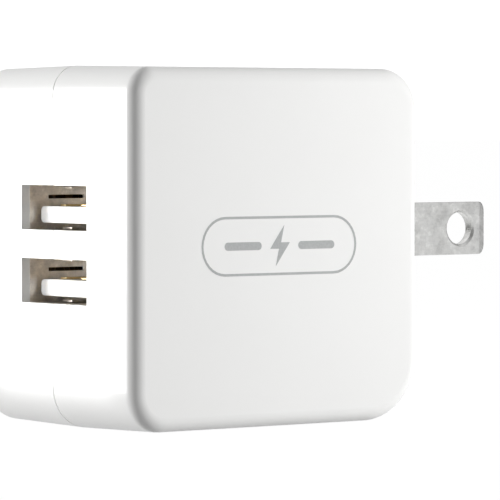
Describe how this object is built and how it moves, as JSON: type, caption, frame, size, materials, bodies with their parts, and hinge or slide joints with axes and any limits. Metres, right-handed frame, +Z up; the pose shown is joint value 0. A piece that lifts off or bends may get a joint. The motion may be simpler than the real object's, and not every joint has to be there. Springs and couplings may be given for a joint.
{
  "type": "usb wall charger",
  "caption": "Small block-shaped wall charger with stacked USB-A sockets in one narrow side and a folding flat-blade mains plug in the opposite side.",
  "frame": {"origin": "on the plug side that meets the outlet, midway between the two blades and on the line where the shells meet", "axes": "+X out of the plug side into the outlet, +Z up, +Y through the thickness from the printed face to the back"},
  "size_m": [0.0577, 0.0296, 0.0405],
  "materials": {
    "case_plastic": "glossy white moulded polycarbonate, fine even gloss",
    "cradle_plastic": "satin off-white moulded plastic",
    "carrier_plastic": "satin white moulded plastic",
    "blade_metal": "nickel-plated flat blade with fine rolling marks and handling marks",
    "socket_metal": "bright nickel-plated folded sheet with a warm cast",
    "spring_metal": "phosphor bronze sheet",
    "contact_metal": "gold-flashed contact strip",
    "tongue_plastic": "white moulded insulator",
    "board": "brown phenolic-paper board",
    "capacitor_sleeve": "dark shrink sleeve",
    "ferrite": "dull dark grey ferrite",
    "bobbin_plastic": "black phenolic",
    "winding_wire": "enamelled copper wire",
    "tape": "yellow polyester tape",
    "chip_black": "black moulded epoxy",
    "disc_blue": "blue dipped ceramic disc",
    "resistor_body": "green-grey coated resistor",
    "spreader_metal": "plain rolled aluminium sheet",
    "sheet_paper": "grey-brown insulating paper",
    "wire_insulation": "black flexible wire insulation"
  },
  "bodies": {
    "case": {"front_shell": "case_plastic", "rear_shell": "case_plastic", "plug_cradle": "cradle_plastic", "detent_spring": "spring_metal", "spring_contact_front": "spring_metal", "spring_contact_rear": "spring_metal", "usb_shell_upper": "socket_metal", "usb_shell_lower": "socket_metal", "usb_tongue_upper": "tongue_plastic", "usb_tongue_lower": "tongue_plastic", "usb_contacts_upper": "contact_metal", "usb_contacts_lower": "contact_metal", "usb_board": "board", "main_board": "board", "bulk_capacitor_inner": "capacitor_sleeve", "bulk_capacitor_outer": "capacitor_sleeve", "output_capacitor_upper": "capacitor_sleeve", "output_capacitor_lower": "capacitor_sleeve", "safety_capacitor": "disc_blue", "varistor": "disc_blue", "controller_chip": "chip_black", "bridge_rectifier": "chip_black", "output_rectifier": "chip_black", "opto_isolator": "chip_black", "transformer_core": "ferrite", "transformer_bobbin": "bobbin_plastic", "transformer_winding": "winding_wire", "transformer_tape": "tape", "fuse_resistor": "resistor_body", "mains_choke": "ferrite", "choke_winding": "winding_wire", "heat_spreader": "spreader_metal", "insulation_sheet": "sheet_paper", "mains_wire_front": "wire_insulation", "mains_wire_rear": "wire_insulation"},
    "plug": {"plug_carrier": "carrier_plastic", "blade_front": "blade_metal", "blade_rear": "blade_metal"}
  },
  "joints": [
    {"name": "plug_fold", "type": "hinge", "parent": "case", "child": "plug", "pos_m": [-0.0039, 0, 0], "axis": [0, 1, 0], "range_deg": [0, 90]}
  ]
}
